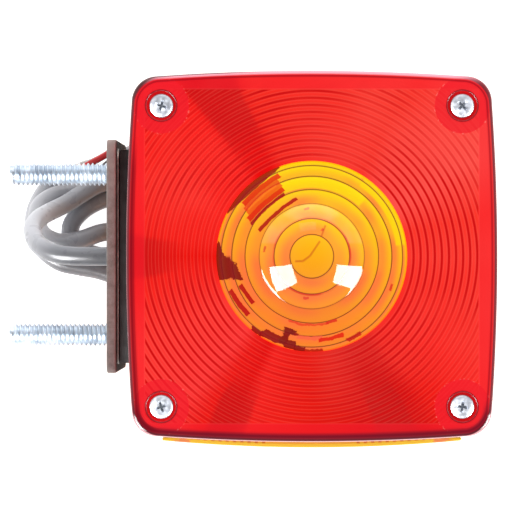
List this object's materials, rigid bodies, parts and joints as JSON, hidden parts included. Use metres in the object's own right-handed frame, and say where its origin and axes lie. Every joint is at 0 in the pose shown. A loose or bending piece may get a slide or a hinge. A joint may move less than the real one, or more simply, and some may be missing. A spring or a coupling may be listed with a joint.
{
  "type": "trailer tail light",
  "caption": "Square two-faced pedestal lamp with a red lens and amber bullseye, an amber rear lens and side lens, a stud-mounted foot and a coiled cable.",
  "frame": {"origin": "under the middle of the lamp without its loose cable, on the surface it lies on", "axes": "+X away from the mounting foot, +Y away from the side lens, +Z out of the front lens"},
  "size_m": [0.1354, 0.103, 0.0916],
  "materials": {
    "housing": "black moulded plastic",
    "red_lens": "clear red acrylic with fine moulded rings behind",
    "amber_lens": "clear amber acrylic with moulded rings behind",
    "seal": "black rubber",
    "zinc": "bright zinc plate",
    "steel": "plated sheet steel and wire",
    "pad": "taupe sponge rubber",
    "cable_jacket": "gray flexible vinyl",
    "wire_red": "red vinyl",
    "wire_white": "white vinyl",
    "wire_black": "black vinyl",
    "contact_board": "brown phenolic board",
    "brass": "brass",
    "bulb_insulator": "black glass insulator",
    "glass": "clear bulb glass"
  },
  "bodies": {
    "root": {"housing": "housing", "red_lens": "red_lens", "amber_bullseye": "amber_lens", "amber_lens": "amber_lens", "front_lens_seal": "seal", "rear_lens_seal": "seal", "front_screw_1": "zinc", "front_screw_2": "zinc", "front_screw_3": "zinc", "front_screw_4": "zinc", "rear_screw_1": "zinc", "rear_screw_2": "zinc", "rear_screw_3": "zinc", "rear_screw_4": "zinc", "side_lens": "amber_lens", "side_lens_seal": "seal", "base_plate": "steel", "mounting_pad": "pad", "stud_1": "zinc", "stud_2": "zinc", "cable_grommet": "seal", "cable": "cable_jacket", "cable_inner_end": "cable_jacket", "wire_red": "wire_red", "wire_white": "wire_white", "wire_black": "wire_black", "lead_tail": "wire_black", "lead_stop": "wire_red", "lead_ground": "wire_white", "lamp_socket": "steel", "socket_bracket": "steel", "bracket_screw_1": "zinc", "bracket_screw_2": "zinc", "contact_spring": "steel"},
    "contacts": {"contact_plate": "contact_board", "contact_button_1": "brass", "contact_button_2": "brass"},
    "bulb": {"bulb_base": "brass", "bulb_insulator": "bulb_insulator", "bulb_contact_1": "zinc", "bulb_contact_2": "zinc", "bulb_glass": "glass", "bulb_stem": "glass", "bulb_support_1": "steel", "bulb_support_2": "steel", "bulb_support_3": "steel", "filament_stop": "steel", "filament_tail": "steel"}
  },
  "joints": [
    {"name": "bulb_push", "type": "slide", "parent": "root", "child": "contacts", "axis": [-1, 0, 0], "range_m": [0, 0.0025], "stiffness_N_per_m": 2000, "springref_m": -0.004, "deforming": ["contact_spring", "lead_tail", "lead_stop"]},
    {"name": "bulb_twist", "type": "hinge", "parent": "contacts", "child": "bulb", "pos_m": [-0.0124, 0.0011, 0.0458], "axis": [1, 0, 0], "range_deg": [0, 20]}
  ]
}
